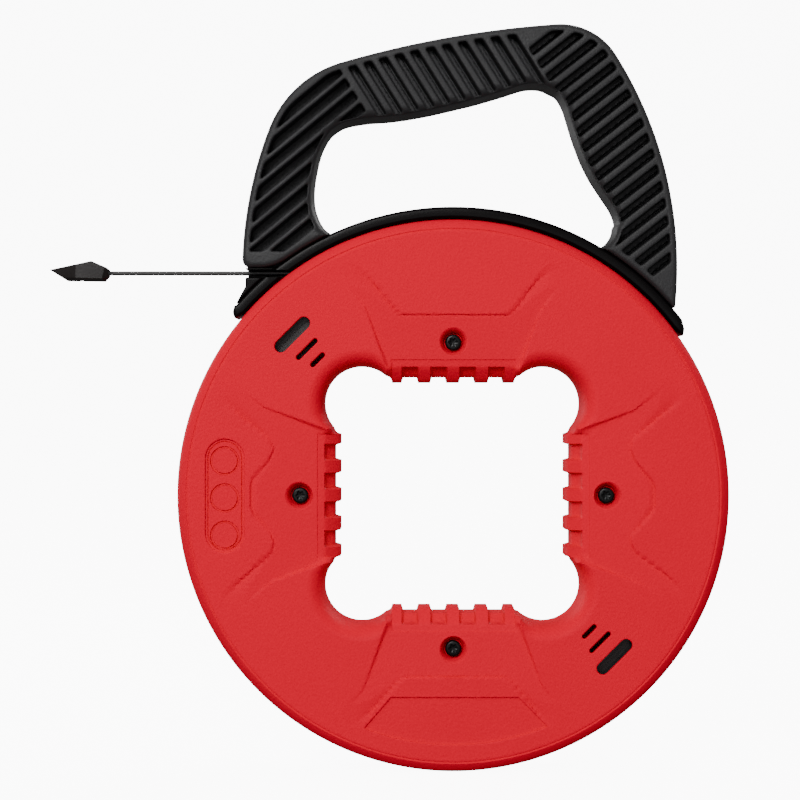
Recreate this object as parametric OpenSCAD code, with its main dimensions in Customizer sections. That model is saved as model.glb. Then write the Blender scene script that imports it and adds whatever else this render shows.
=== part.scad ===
// Fish tape reel: a steel fish tape wound in a two-part round case that turns
// under a carrying handle. Upright: +Z towards the handle, front face towards -Y.
// The origin is on the case's turning axis, halfway through its thickness.

/* [Case] */
// Outside radius of the round case
case_r = 115; // [80:1:160]
// Half of the case's thickness (seam to face)
case_half = 19; // [14:0.5:28]
// Wall thickness of the moulded covers
wall = 2.5; // [1.6:0.1:4]
// Rounding of the case's outer corner
corner_r = 4; // [1:0.5:6]
// Outside radius of the winding drum
drum_r = 76; // [74:0.5:80]
// Half width of the gap around the rim that the tape leaves by
gap_half = 4; // [3.6:0.1:6]
// Depth of the lips beside the gap, measured inwards
lip_d = 5.5; // [3:0.5:8]

/* [Central opening] */
// Distance from the axis to the tips of the finger ribs
grip_tip = 47; // [40:0.5:52]
// Distance from the axis to the edge of a grip at the face
grip_edge = 56.5; // [50:0.5:60]
// Offset of the corner lobes from the axis, both ways
lobe_off = 38.3; // [34:0.1:42]
// Radius of the corner lobes at the seam
lobe_r = 15.5; // [12:0.5:18]
// Spacing of the finger ribs
rib_pitch = 12; // [9:0.5:14]
// Depth of the valleys between the finger ribs
valley_d = 2.3; // [1:0.1:3]
// Width of a valley
valley_w = 6.4; // [4:0.1:8]

/* [Windows and screws] */
// Distance from the axis to the four case screws
screw_off = 63.7; // [60:0.1:68]
// Radius of the screws' counterbores
cbore_r = 6; // [4:0.5:7]
// Radii of the three tape windows
window_at = [94.5, 86, 79.7];
// Lengths of the three tape windows
window_l = [19.5, 12.5, 8.4];
// Widths of the three tape windows
window_w = [6, 2.8, 2.8];

/* [Tape] */
// Width of the steel tape (1/4 in)
tape_w = 6.35; // [3:0.05:8]
// Thickness of the steel tape (0.06 in)
tape_t = 1.52; // [0.8:0.02:2]
// Height of the straight lead above the axis
lead_z = 93.2; // [85:0.1:100]
// Length of the straight lead
lead_l = 152; // [90:1:220]
// Centreline radius of the coil's innermost turn
coil_r = 89; // [80:0.5:96]
// Half turns in each layer of the coil
half_turns = 12; // [4:1:16]
// Spacing of the coil's turns
coil_pitch = 1.6; // [1.55:0.05:2]

/* [Handle] */
// Half of the handle's thickness
handle_half = 15; // [10:0.5:18]
// Depth of the pockets between the handle's ribs
pocket_d = 9; // [3:0.5:12]
// Plain border around the pockets
border = 3; // [2.5:0.5:8]
// Radius of the handle's foot, where it meets the rim guide
foot_r = 120.6; // [118:0.1:124]

/* [Rim guide] */
// Running gap between the case's rim and the rim guide
guide_gap = 0.6; // [0.4:0.1:2]
// Thickness of the rim guide
guide_t = 5; // [3:0.5:8]
// Half width of the rim guide
guide_half = 13; // [8:0.5:16]
// Gap between the guide shoes and the case's lips
shoe_gap = 0.4; // [0.2:0.05:1]

/* [Hidden] */
lip_r = case_r - lip_d;
guide_r = case_r + guide_gap;
red = [0.80, 0.05, 0.06];
black = [0.12, 0.12, 0.13];
steel = [0.33, 0.34, 0.35];
// arcs of the handle's outline: centre x, centre z, radius
left_arc = [78, 93, 166];
right_arc = [-71.5, 95.5, 165];
top_arc = [72, -227, 424.5];
// where two circles meet, the upper one of the two points
function meet(a, b) =
    let (d = norm([b[0] - a[0], b[1] - a[1]]), u = [b[0] - a[0], b[1] - a[1]] / d,
        t = (a[2] * a[2] - b[2] * b[2] + d * d) / (2 * d), h = sqrt(a[2] * a[2] - t * t),
        p = [a[0] + u[0] * t - u[1] * h, a[1] + u[1] * t + u[0] * h],
        q = [a[0] + u[0] * t + u[1] * h, a[1] + u[1] * t - u[0] * h])
    p[1] > q[1] ? p : q;
function shrink(a, r) = [a[0], a[1], a[2] - r];
function away(a, p) = [p[0] - a[0], p[1] - a[1]] / norm([p[0] - a[0], p[1] - a[1]]);
// spots of the screws that close the handle: x, z
handle_spots = [[-76, 104], [-63, 152], [-8, 171.5], [56, 174], [71, 132], [83, 92]];
// angles of the three guide shoes: middle, half span
shoe_l = [137.4, 3];
shoe_t = [90, 10];
shoe_r = [42, 6];

// everything is drawn as seen from the front and then stood up:
// x stays x, y becomes +Z and z (height towards the front) becomes -Y
module stand() { rotate([90, 0, 0]) children(); }

module obround(l, w) {
    square([l - w, w], center = true);
    translate([(l - w) / 2, 0]) circle(d = w, $fn = 48);
    translate([-(l - w) / 2, 0]) circle(d = w, $fn = 48);
}

// ---- case covers ----

module shell_profile() {
    translate([drum_r - wall, 0]) square([wall, case_half]);
    translate([drum_r - wall, case_half - wall])
        square([case_r - corner_r - drum_r + wall, wall]);
    translate([case_r - wall, gap_half]) square([wall, case_half - corner_r - gap_half]);
    translate([lip_r, gap_half]) square([lip_d, wall]);
    difference() {
        translate([case_r - corner_r, case_half - corner_r]) circle(r = corner_r, $fn = 64);
        translate([case_r - corner_r - 5, case_half - corner_r - 5])
            square([4.99 + corner_r - wall, 5 + corner_r - wall]);
        translate([case_r - 2 * corner_r - 1, case_half - corner_r - 5])
            square([corner_r + 1, 5 + corner_r - wall]);
    }
}

// the sloping wall of one grip in side view: depth towards the axis by height
module grip_side(d) {
    polygon([[0, -0.02], [grip_tip + d, -0.02], [grip_tip + d, 3.5], [53.4 + d, 17],
        [grip_edge + d, case_half + 0.02], [0, case_half + 0.02]]);
}

module grip_prism(w, d) {
    rotate([0, 0, 90]) rotate([90, 0, 0])
        translate([0, 0, -w / 2]) linear_extrude(w) grip_side(d);
}

module opening() {
    // the square part, and the sloping front of each grip
    translate([-grip_tip, -grip_tip, -0.02]) cube([2 * grip_tip, 2 * grip_tip, case_half + 0.04]);
    for (a = [0 : 90 : 270]) rotate([0, 0, a]) grip_prism(51.2, 0);
    // valleys between the finger ribs
    for (a = [0 : 90 : 270], k = [-1.5 : 1 : 1.5])
        rotate([0, 0, a]) translate([k * rib_pitch, 0, 0]) grip_prism(valley_w, valley_d);
    // corner lobes
    for (a = [45 : 90 : 315]) rotate([0, 0, a]) translate([lobe_off * sqrt(2), 0, 0]) {
        translate([0, 0, -0.02]) cylinder(r = lobe_r, h = 4.02, $fn = 96);
        translate([0, 0, 4]) cylinder(r1 = lobe_r, r2 = lobe_r + 3, h = case_half - 3.98, $fn = 96);
    }
}

// hollow beside the drum, open at the seam, with a boss left in it
module cavity() {
    translate([0, 0, -0.02]) linear_extrude(case_half - wall + 0.02) difference() {
        intersection() {
            circle(r = drum_r - wall, $fn = 120);
            translate([-34, grip_edge + wall + 0.5]) square([68, 30]);
        }
        for (s = [-1, 1]) translate([s * lobe_off, lobe_off]) circle(r = lobe_r + 6, $fn = 96);
        translate([0, screw_off]) circle(r = 7.8, $fn = 64);
    }
}

// the grip panels sink below the corner zones, most beside the opening
module grip_panel_cut() {
    intersection() {
        translate([0, 0, case_half - 3]) linear_extrude(6)
            polygon([[-28.5, 50], [28.5, 50], [40.5, 86.5], [32, 97], [-32, 97], [-38, 76]]);
        translate([0, grip_edge, case_half - 1.4]) rotate([2.4, 0, 0])
            translate([-60, -20, 0]) cube([120, 62, 6]);
    }
}

module cover_body() {
    difference() {
        union() {
            rotate_extrude($fn = 180) shell_profile();
            cylinder(r = drum_r - wall + 0.5, h = case_half, $fn = 120);
            // ribs that keep the coil off the face
            for (a = [0 : 30 : 330]) rotate([0, 0, a])
                translate([drum_r - 0.5, -0.8, 10.7]) cube([30, 1.6, case_half - wall - 10.6]);
        }
        opening();
        for (a = [0 : 90 : 270]) rotate([0, 0, a]) { cavity(); grip_panel_cut(); }
    }
}

module front_cover() {
    color(red) stand() difference() {
        cover_body();
        for (a = [0 : 90 : 270]) rotate([0, 0, a]) translate([0, screw_off, 0]) {
            translate([0, 0, -0.1]) cylinder(r = 1.9, h = 20, $fn = 32);
            translate([0, 0, 12.5]) cylinder(r = cbore_r, h = 10, $fn = 64);
        }
        // tape windows at the upper left and lower right
        for (a = [135, 315], k = [0 : 2]) rotate([0, 0, a]) translate([window_at[k], 0, 12])
            linear_extrude(10) rotate(90) obround(window_l[k], window_w[k]);
        // shallow pill and name panels, left blank
        translate([-94.8, 0, case_half - 0.6]) linear_extrude(3) rotate(90) obround(48, 17);
        translate([0, 0, case_half - 0.5]) linear_extrude(3) intersection() {
            circle(r = 103.6, $fn = 120);
            polygon([[-26, -83.6], [27, -83.6], [39, -96], [39, -110], [-37, -110], [-37, -96]]);
        }
    }
}

module rear_cover() {
    color(red) stand() mirror([0, 0, 1]) difference() {
        cover_body();
        for (a = [0 : 90 : 270]) rotate([0, 0, a]) translate([0, screw_off, -0.1])
            cylinder(r = 1.8, h = 14.1, $fn = 32);
        // hole for the screw that holds the tape's clip
        rotate([0, 0, 270]) translate([drum_r - 4, 0, 7]) rotate([0, 90, 0])
            cylinder(r = 1.3, h = 6, $fn = 24);
    }
}

module case_screws() {
    color(black) stand() for (a = [0 : 90 : 270]) rotate([0, 0, a]) translate([0, screw_off, 0])
        difference() {
            union() {
                translate([0, 0, -12]) cylinder(r = 1.75, h = 24.6, $fn = 32);
                translate([0, 0, 12.5]) cylinder(r = 3.4, h = 2.6, $fn = 48);
            }
            translate([0, 0, 13.6]) cylinder(r = 1.8, h = 3, $fn = 6);
        }
}

// ---- tape ----

// layer of the coil: half turns on two alternating centres, each wider than the last
module coil_layer(z0) {
    e = coil_pitch / 4;
    for (k = [0 : half_turns - 1])
        translate([(k % 2 == 0 ? -e : e), 0, z0]) rotate([0, 0, k % 2 == 0 ? 0 : 180])
            rotate_extrude(angle = 180, $fn = 144)
                translate([coil_r + 2 * e * k - tape_t / 2, 0]) square([tape_t, tape_w]);
}

module tape_coil_front() { color(steel) stand() coil_layer(3.85); }
module tape_coil_rear() { color(steel) stand() coil_layer(-3.85 - tape_w); }

// last part of the strip, between the two layers, held by the clip
module tape_coil_inner() {
    color(steel) stand() translate([0, 0, -tape_w / 2]) rotate([0, 0, 268])
        rotate_extrude(angle = -268, $fn = 144)
            translate([86 - tape_t / 2, 0]) square([tape_t, tape_w]);
}

module tape_anchor() {
    color(steel) stand() rotate([0, 0, 270]) difference() {
        union() {
            translate([drum_r + 0.05, -5, -10.2]) cube([1.4, 10, 6.8]);
            translate([drum_r + 0.05, -5, -4.6]) cube([8.8, 10, 1.2]);
            translate([drum_r + 7.45, -5, -4.6]) cube([1.4, 10, 8]);
        }
        translate([drum_r - 1, 0, -7]) rotate([0, 90, 0]) cylinder(r = 1.4, h = 6, $fn = 24);
    }
}

module anchor_screw() {
    color(black) stand() rotate([0, 0, 270]) translate([drum_r, 0, -7]) rotate([0, 90, 0]) {
        translate([0, 0, -3.5]) cylinder(r = 1.25, h = 6, $fn = 24);
        translate([0, 0, 1.5]) cylinder(r = 2.3, h = 1.5, $fn = 24);
    }
}

module tape_lead() {
    color(steel) stand() difference() {
        translate([-lead_l, lead_z - tape_t / 2, -tape_w / 2]) cube([lead_l, tape_t, tape_w]);
        translate([-148.5, lead_z, 0]) rotate([-90, 0, 0])
            translate([0, 0, -3]) cylinder(r = 1.05, h = 6, $fn = 24);
    }
}

// faceted spearhead on the end of the tape
module tape_tip() {
    color(black) stand() translate([0, lead_z, 0]) difference() {
        intersection() {
            translate([0, 0, -3.4]) linear_extrude(6.8)
                polygon([[-170.4, 1.6], [-152.3, 5.3], [-146.4, 2.7], [-144.6, 1.4],
                    [-144.6, -1.4], [-146.5, -3.6], [-162.4, -3.4]]);
            rotate([-90, 0, 0]) translate([0, 0, -8]) linear_extrude(16)
                polygon([[-171, -0.6], [-158, -3.4], [-142, -3.4], [-142, 3.4],
                    [-158, 3.4], [-171, 0.6]]);
        }
        translate([-lead_l, -tape_t / 2, -tape_w / 2]) cube([12, tape_t, tape_w]);
        translate([-148.5, 0, 0]) rotate([-90, 0, 0])
            translate([0, 0, -8]) cylinder(r = 1.05, h = 16, $fn = 24);
        // eye that a cable is tied to
        translate([-156.5, 0, 0]) rotate([-90, 0, 0])
            translate([0, 0, -8]) cylinder(r = 1.6, h = 16, $fn = 32);
    }
}

module tip_rivet() {
    color(steel) stand() translate([-148.5, lead_z, 0]) rotate([-90, 0, 0]) {
        translate([0, 0, -2.4]) cylinder(r = 1, h = 5.4, $fn = 24);
    }
}

// ---- handle ----

// outline of the handle, d inside its real edge
module handle_outline(d) {
    la = shrink(left_arc, d); ra = shrink(right_arc, d); ta = shrink(top_arc, d);
    tl = meet(shrink(left_arc, 40), shrink(top_arc, 40));
    tr = meet(shrink(right_arc, 27), shrink(top_arc, 27));
    difference() {
        intersection() {
            translate([la[0], la[1]]) circle(r = la[2], $fn = 360);
            translate([ra[0], ra[1]]) circle(r = ra[2], $fn = 360);
            translate([ta[0], ta[1]]) circle(r = ta[2], $fn = 720);
            translate([-100, 60]) square([200, 150]);
        }
        // rounding of the two upper corners
        difference() {
            polygon([tl, tl + 80 * away(left_arc, tl), tl + [-80, 80], tl + 80 * away(top_arc, tl)]);
            translate(tl) circle(r = 40 - d, $fn = 180);
        }
        difference() {
            polygon([tr, tr + 80 * away(top_arc, tr), tr + [80, 80], tr + 80 * away(right_arc, tr)]);
            translate(tr) circle(r = 27 - d, $fn = 180);
        }
        // foot on the rim guide, and the flat end over the tape's mouth
        circle(r = foot_r + d, $fn = 360);
        translate([-100, 0]) square([40, 95 + d]);
    }
}

// finger gap of the handle, grown by d
module finger_gap(d) {
    difference() {
        union() {
            polygon([[-53.8 - d, 141], [-39 - d / 2, 154.4 + d], [-22, 156.3 + d], [-3.5, 159.8 + d],
                [15.5, 164.6 + d], [30, 169 + d], [45.3 + d, 159], [66.6 + d, 116], [57, 101],
                [30, 101], [-45, 101], [-57.6 - d, 122]]);
            translate([-39.6, 140]) circle(r = 14.5 + d, $fn = 96);
            translate([-41.6, 123]) circle(r = 16.2 + d, $fn = 96);
            translate([32.9, 156.8]) circle(r = 12.6 + d, $fn = 96);
            translate([55.5, 112.2]) circle(r = 11.6 + d, $fn = 96);
        }
        translate([135, 176.5]) circle(r = 90 - d, $fn = 240);
    }
}

// a long slot of width w at angle a, off from the origin
module slot(a, off, w) {
    rotate(a) translate([0, off]) square([500, w], center = true);
}

module pockets(front) {
    difference() {
        intersection() {
            difference() { handle_outline(border); finger_gap(border); }
            union() {
                // left leg
                intersection() {
                    for (k = [0 : 7]) slot(39.5, 125 + 5.96 * k, 3.9);
                    rotate(-58) translate([-400, -346]) square([800, 400]);
                }
                // grip
                intersection() {
                    for (k = [0 : 10]) slot(-58, 58.1 + 6.31 * k, 2.9);
                    translate([-100, 152]) square([200, 60]);
                }
                // right leg
                intersection() {
                    for (k = [0 : 16]) slot(38, 22.2 + 6.44 * k, 3.1);
                    union() {
                        rotate(-58) translate([-400, 125.5]) square([800, 400]);
                        translate([40, 60]) square([80, 98]);
                    }
                }
            }
        }
        // the rear shell's pockets go round its screws
        if (!front) for (p = handle_spots) translate(p) circle(r = 4.6, $fn = 40);
    }
}

module handle_half_body(front) {
    difference() {
        linear_extrude(handle_half) difference() { handle_outline(0); finger_gap(0); }
        translate([0, 0, handle_half - pocket_d]) linear_extrude(20) pockets(front);
    }
}

module handle_front_shell() {
    color(black) stand() difference() {
        handle_half_body(true);
        for (p = handle_spots) translate([p[0], p[1], -0.1]) cylinder(r = 1.56, h = 5.1, $fn = 24);
    }
}

module handle_rear_shell() {
    color(black) stand() mirror([0, 0, 1]) difference() {
        handle_half_body(false);
        for (p = handle_spots) translate([p[0], p[1], -0.1]) {
            cylinder(r = 1.7, h = 20, $fn = 24);
            translate([0, 0, 11.1]) cylinder(r = 3.4, h = 10, $fn = 40);
        }
    }
}

module handle_screws() {
    color(black) stand() for (p = handle_spots) translate([p[0], p[1], 0]) difference() {
        union() {
            translate([0, 0, -12]) cylinder(r = 1.5, h = 16.6, $fn = 24);
            translate([0, 0, -13.7]) cylinder(r = 3, h = 2.6, $fn = 40);
        }
        translate([0, 0, -14]) cylinder(r = 1.5, h = 1.6, $fn = 6);
    }
}

// ---- rim guide, mouth and shoes ----

module rim_guide() {
    color(black) stand() difference() {
        union() {
            translate([0, 0, -guide_half]) rotate([0, 0, 36.5]) rotate_extrude(angle = 103.1, $fn = 240)
                translate([guide_r, 0]) square([guide_t - 0.1, 2 * guide_half]);
            // the two ends lift away from the rim as fins
            translate([0, 0, -guide_half]) linear_extrude(2 * guide_half)
                polygon([[-87, 76.8], [-91.5, 73.2], [-92, 76.6], [-90.6, 79.4], [-88.5, 79]]);
            translate([0, 0, -guide_half]) linear_extrude(2 * guide_half)
                polygon([[92, 70.8], [96.4, 65.8], [96.6, 70.4], [95, 74], [93.5, 73]]);
        }
        // way through for the tape
        translate([-90, lead_z - 2.4, -gap_half - 0.5]) cube([30, 3.4, 40]);
        for (a = [shoe_l[0], shoe_t[0], shoe_r[0]]) rotate([0, 0, a]) rotate([0, 90, 0]) {
            translate([0, 0, 110]) cylinder(r = 1.6, h = 20, $fn = 24);
            translate([0, 0, 117.9]) cylinder(r = 3, h = 20, $fn = 32);
        }
    }
}

// black body behind the tape where it leaves the case, open to the front
module mouth_guide() {
    color(black) stand() difference() {
        translate([0, 0, -guide_half]) linear_extrude(2 * guide_half) difference() {
            polygon([[-86.2, 94.9], [-86.2, 90], [-86.9, 85.4], [-84.2, 85.4], [-70, 94.9]]);
            circle(r = foot_r, $fn = 240);
        }
        translate([-100, lead_z - 2.4, -gap_half]) cube([50, 3.4, 40]);
    }
}

module shoe(c) {
    rotate([0, 0, c[0] - c[1]]) rotate_extrude(angle = 2 * c[1], $fn = 240) {
        translate([104.6, -8]) square([lip_r - shoe_gap - 104.6, 16]);
        translate([104.6, shoe_gap - gap_half]) square([guide_r - 104.7, 2 * (gap_half - shoe_gap)]);
    }
}

module shoe_bored(c) {
    color(black) stand() difference() {
        shoe(c);
        rotate([0, 0, c[0]]) rotate([0, 90, 0]) translate([0, 0, 106]) cylinder(r = 1.3, h = 20, $fn = 24);
    }
}

module guide_shoe_left() { shoe_bored(shoe_l); }
module guide_shoe_top() { shoe_bored(shoe_t); }
module guide_shoe_right() { shoe_bored(shoe_r); }

module shoe_screws() {
    color(steel) stand() for (a = [shoe_l[0], shoe_t[0], shoe_r[0]]) rotate([0, 0, a]) rotate([0, 90, 0])
        difference() {
            union() {
                translate([0, 0, 107]) cylinder(r = 1.25, h = 11, $fn = 24);
                translate([0, 0, 117.9]) cylinder(r = 2.7, h = 2.2, $fn = 32);
            }
            translate([0, 0, 119]) cylinder(r = 1.3, h = 3, $fn = 6);
        }
}

front_cover();
rear_cover();
case_screws();
tape_coil_front();
tape_coil_rear();
tape_coil_inner();
tape_anchor();
anchor_screw();
tape_lead();
tape_tip();
tip_rivet();
handle_front_shell();
handle_rear_shell();
handle_screws();
rim_guide();
mouth_guide();
guide_shoe_left();
guide_shoe_top();
guide_shoe_right();
shoe_screws();
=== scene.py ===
import math

import bmesh
import bpy
import numpy as np
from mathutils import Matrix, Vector


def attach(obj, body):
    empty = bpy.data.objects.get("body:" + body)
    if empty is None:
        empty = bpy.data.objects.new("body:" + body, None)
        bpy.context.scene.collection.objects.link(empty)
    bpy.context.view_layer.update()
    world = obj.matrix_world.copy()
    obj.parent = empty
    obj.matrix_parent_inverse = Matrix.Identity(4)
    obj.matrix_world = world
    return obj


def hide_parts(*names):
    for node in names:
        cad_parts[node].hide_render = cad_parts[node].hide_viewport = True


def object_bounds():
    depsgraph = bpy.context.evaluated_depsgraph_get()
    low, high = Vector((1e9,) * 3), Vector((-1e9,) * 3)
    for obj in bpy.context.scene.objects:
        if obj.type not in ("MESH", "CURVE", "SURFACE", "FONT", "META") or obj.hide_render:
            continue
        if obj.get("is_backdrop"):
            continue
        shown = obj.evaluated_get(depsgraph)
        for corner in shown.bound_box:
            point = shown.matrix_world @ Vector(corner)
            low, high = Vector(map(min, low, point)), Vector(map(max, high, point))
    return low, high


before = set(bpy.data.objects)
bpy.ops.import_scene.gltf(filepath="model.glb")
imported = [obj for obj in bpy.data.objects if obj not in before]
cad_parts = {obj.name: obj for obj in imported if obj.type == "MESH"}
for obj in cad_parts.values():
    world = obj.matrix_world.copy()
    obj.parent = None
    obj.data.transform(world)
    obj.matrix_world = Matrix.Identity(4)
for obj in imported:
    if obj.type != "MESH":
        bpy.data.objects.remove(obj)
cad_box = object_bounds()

# All shapes below are worked out in millimetres as seen from the front:
# x to the right, z up and h towards the viewer (h = -y), and scaled to metres at the end.


# ---------------------------------------------------------------- helpers


def to_object(name, verts, faces, mat, body, slot=None, angle=32.0, smooth=True):
    """A mesh piece from points in mm (x, y, z)."""
    me = bpy.data.meshes.new(name)
    v = np.asarray(verts, float) * 0.001
    me.from_pydata(v.tolist(), [], [list(map(int, f)) for f in faces])
    me.validate()
    me.update()
    ob = bpy.data.objects.new(name, me)
    bpy.context.scene.collection.objects.link(ob)
    me.materials.append(mat)
    fix_normals(ob)
    if smooth:
        shade(ob, angle)
    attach(ob, body)
    return ob


def fix_normals(ob):
    bm = bmesh.new()
    bm.from_mesh(ob.data)
    bmesh.ops.recalc_face_normals(bm, faces=bm.faces)
    if bm.calc_volume(signed=True) < 0:
        bmesh.ops.reverse_faces(bm, faces=bm.faces)
    bm.to_mesh(ob.data)
    bm.free()
    ob.data.update()


def shade(ob, angle):
    me = ob.data
    me.polygons.foreach_set("use_smooth", np.ones(len(me.polygons), bool))
    bm = bmesh.new()
    bm.from_mesh(me)
    lim = math.radians(angle)
    for e in bm.edges:
        e.smooth = not (len(e.link_faces) == 2 and e.calc_face_angle(0.0) > lim)
    bm.to_mesh(me)
    bm.free()
    me.update()


def bake_modifiers(ob):
    """Replaces the object's mesh by what its modifiers make of it."""
    dg = bpy.context.evaluated_depsgraph_get()
    dg.update()
    me = bpy.data.meshes.new_from_object(ob.evaluated_get(dg), preserve_all_data_layers=True, depsgraph=dg)
    old = ob.data
    ob.modifiers.clear()
    ob.data = me
    bpy.data.meshes.remove(old)


def cut(ob, cutter):
    """Takes the closed mesh cutter out of ob."""
    m = ob.modifiers.new("cut", "BOOLEAN")
    m.operation = "DIFFERENCE"
    m.solver = "EXACT"
    m.object = cutter
    before = len(ob.data.polygons)
    tool_name = cutter.name
    bpy.context.view_layer.update()
    bake_modifiers(ob)
    bpy.data.objects.remove(cutter)
    if len(ob.data.polygons) < before * 0.8:
        raise RuntimeError(f"cutting {ob.name} with {tool_name} lost its mesh")


def plain_object(name, verts, faces):
    me = bpy.data.meshes.new(name)
    me.from_pydata((np.asarray(verts, float) * 0.001).tolist(), [], [list(map(int, f)) for f in faces])
    me.update()
    ob = bpy.data.objects.new(name, me)
    bpy.context.scene.collection.objects.link(ob)
    fix_normals(ob)
    return ob


def rings_mesh(rings, closed_ring=True, cap=True, closed_loop=False):
    """Quads between rings of equal length. rings: (n, m, 3)."""
    rings = np.asarray(rings, float)
    n, m, _ = rings.shape
    verts = rings.reshape(-1, 3)
    faces = []
    last = m if closed_ring else m - 1
    for i in range(n if closed_loop else n - 1):
        a = (i % n) * m
        b = ((i + 1) % n) * m
        for j in range(last):
            k = (j + 1) % m
            faces.append((a + j, a + k, b + k, b + j))
    if cap and not closed_loop:
        faces.append(tuple(range(m))[::-1])
        faces.append(tuple((n - 1) * m + j for j in range(m)))
    return verts, faces


def join_parts(parts):
    """Several (verts, faces) as one."""
    vs, fs, off = [], [], 0
    for v, f in parts:
        v = np.asarray(v, float)
        vs.append(v)
        fs += [tuple(off + i for i in q) for q in f]
        off += len(v)
    return np.concatenate(vs), fs


def smoothstep(a, b, x):
    """0 at a, 1 at b and eased between them; a may be the larger."""
    t = np.clip((x - a) / (b - a), 0, 1)
    return t * t * (3 - 2 * t)


def prism(poly, h0, h1, flare=0.0, at=0.0):
    """A closed prism over the polygon (x, z) from height h0 to h1, widened by flare near height at."""
    p = np.asarray(poly, float)
    n = len(p)
    if flare > 0:
        d = outward(p)
        levels = [(h0, 0), (at - flare, 0), (at - flare * 0.3, flare * 0.35), (at, flare), (h1, flare + (h1 - at))]
    else:
        d = np.zeros_like(p)
        levels = [(h0, 0), (h1, 0)]
    rings = [np.column_stack([p[:, 0] + d[:, 0] * w, np.full(n, -h), p[:, 1] + d[:, 1] * w]) for h, w in levels]
    return rings_mesh(rings)


def outward(p):
    """Unit outward normals at the corners of a polygon."""
    nxt = np.roll(p, -1, 0) - p
    prv = p - np.roll(p, 1, 0)
    n = np.column_stack([nxt[:, 1] + prv[:, 1], -(nxt[:, 0] + prv[:, 0])])
    n /= np.linalg.norm(n, axis=1)[:, None] + 1e-12
    area = 0.5 * np.sum(p[:, 0] * np.roll(p[:, 1], -1) - np.roll(p[:, 0], -1) * p[:, 1])
    return n if area > 0 else -n


def circle(cx, cz, r, n=64):
    a = np.linspace(0, 2 * np.pi, n, endpoint=False)
    return np.column_stack([cx + r * np.cos(a), cz + r * np.sin(a)])


def obround(cx, cz, length, width, ang, n=24):
    """A slot outline of full length and width, its long axis at ang degrees."""
    r = width / 2
    s = length / 2 - r
    a = np.linspace(-np.pi / 2, np.pi / 2, n)
    right = np.column_stack([s + r * np.cos(a), r * np.sin(a)])
    left = np.column_stack([-s - r * np.cos(a), -r * np.sin(a)])
    p = np.concatenate([right, left])
    t = math.radians(ang)
    rot = np.array([[math.cos(t), -math.sin(t)], [math.sin(t), math.cos(t)]])
    return p @ rot.T + [cx, cz]


# ---------------------------------------------------------------- materials


def material(name, colour, rough, metallic=0.0, spec=0.5, coat=0.0, coat_rough=0.1,
             grain=2600.0, grain_depth=0.00002, wear=0.06, tint=0.0, aniso=0.0, scratch=None):
    """A procedural surface: base colour with slight mottling, uneven roughness and a fine moulded or rolled grain."""
    m = bpy.data.materials.new(name)
    m.use_nodes = True
    nt = m.node_tree
    nt.nodes.clear()
    out = nt.nodes.new("ShaderNodeOutputMaterial")
    b = nt.nodes.new("ShaderNodeBsdfPrincipled")
    nt.links.new(b.outputs[0], out.inputs[0])
    b.inputs["Metallic"].default_value = metallic
    b.inputs["Specular IOR Level"].default_value = spec
    b.inputs["Coat Weight"].default_value = coat
    b.inputs["Coat Roughness"].default_value = coat_rough
    b.inputs["Anisotropic"].default_value = aniso
    co = nt.nodes.new("ShaderNodeTexCoord")
    big = nt.nodes.new("ShaderNodeTexNoise")
    big.inputs["Scale"].default_value = 38.0
    big.inputs["Detail"].default_value = 4.0
    nt.links.new(co.outputs["Object"], big.inputs["Vector"])
    ramp = nt.nodes.new("ShaderNodeMapRange")
    ramp.inputs["From Min"].default_value = 0.3
    ramp.inputs["From Max"].default_value = 0.7
    ramp.inputs["To Min"].default_value = max(0.03, rough - wear)
    ramp.inputs["To Max"].default_value = min(1.0, rough + wear)
    nt.links.new(big.outputs["Fac"], ramp.inputs["Value"])
    nt.links.new(ramp.outputs["Result"], b.inputs["Roughness"])
    mix = nt.nodes.new("ShaderNodeMix")
    mix.data_type = "RGBA"
    k0 = 1 - tint
    mix.inputs["A"].default_value = (colour[0] * k0, colour[1] * k0, colour[2] * k0, 1)
    mix.inputs["B"].default_value = (*[min(1.0, c * (1 + tint)) for c in colour], 1)
    nt.links.new(big.outputs["Fac"], mix.inputs["Factor"])
    nt.links.new(mix.outputs["Result"], b.inputs["Base Color"])
    fine = nt.nodes.new("ShaderNodeTexNoise")
    fine.inputs["Scale"].default_value = grain
    fine.inputs["Detail"].default_value = 2.0
    if scratch:
        mp = nt.nodes.new("ShaderNodeMapping")
        mp.inputs["Scale"].default_value = scratch
        nt.links.new(co.outputs["Object"], mp.inputs["Vector"])
        nt.links.new(mp.outputs["Vector"], fine.inputs["Vector"])
    else:
        nt.links.new(co.outputs["Object"], fine.inputs["Vector"])
    bump = nt.nodes.new("ShaderNodeBump")
    bump.inputs["Strength"].default_value = 1.0
    bump.inputs["Distance"].default_value = grain_depth
    nt.links.new(fine.outputs["Fac"], bump.inputs["Height"])
    nt.links.new(bump.outputs["Normal"], b.inputs["Normal"])
    return m


RED = material("red_moulded", (0.7, 0.0, 0.022), 0.52, spec=0.03, grain=900, grain_depth=0.00022, wear=0.05, tint=0.03)
RED_REAR = material("red_moulded_rear", (0.7, 0.0, 0.022), 0.52, spec=0.03, grain=1700, grain_depth=0.00003, wear=0.05, tint=0.03)
HANDLE = material("handle_moulded", (0.0175, 0.017, 0.018), 0.56, spec=0.24, grain=1300, grain_depth=0.00016, wear=0.08, tint=0.12)
GUIDE = material("guide_gloss", (0.002, 0.0014, 0.0016), 0.28, spec=0.07, coat=0.0, coat_rough=0.08, grain=900, grain_depth=0.00001, wear=0.04, tint=0.1)
SHOE = material("shoe_plastic", (0.02, 0.02, 0.021), 0.4, grain=1200, grain_depth=0.00003, tint=0.1)
TAPE = material("tape_strip", (0.03, 0.0295, 0.0295), 0.46, metallic=0.4, grain=2200, grain_depth=0.000003, wear=0.08, tint=0.25, aniso=0.4, scratch=(0.05, 1.0, 1.0))
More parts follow.
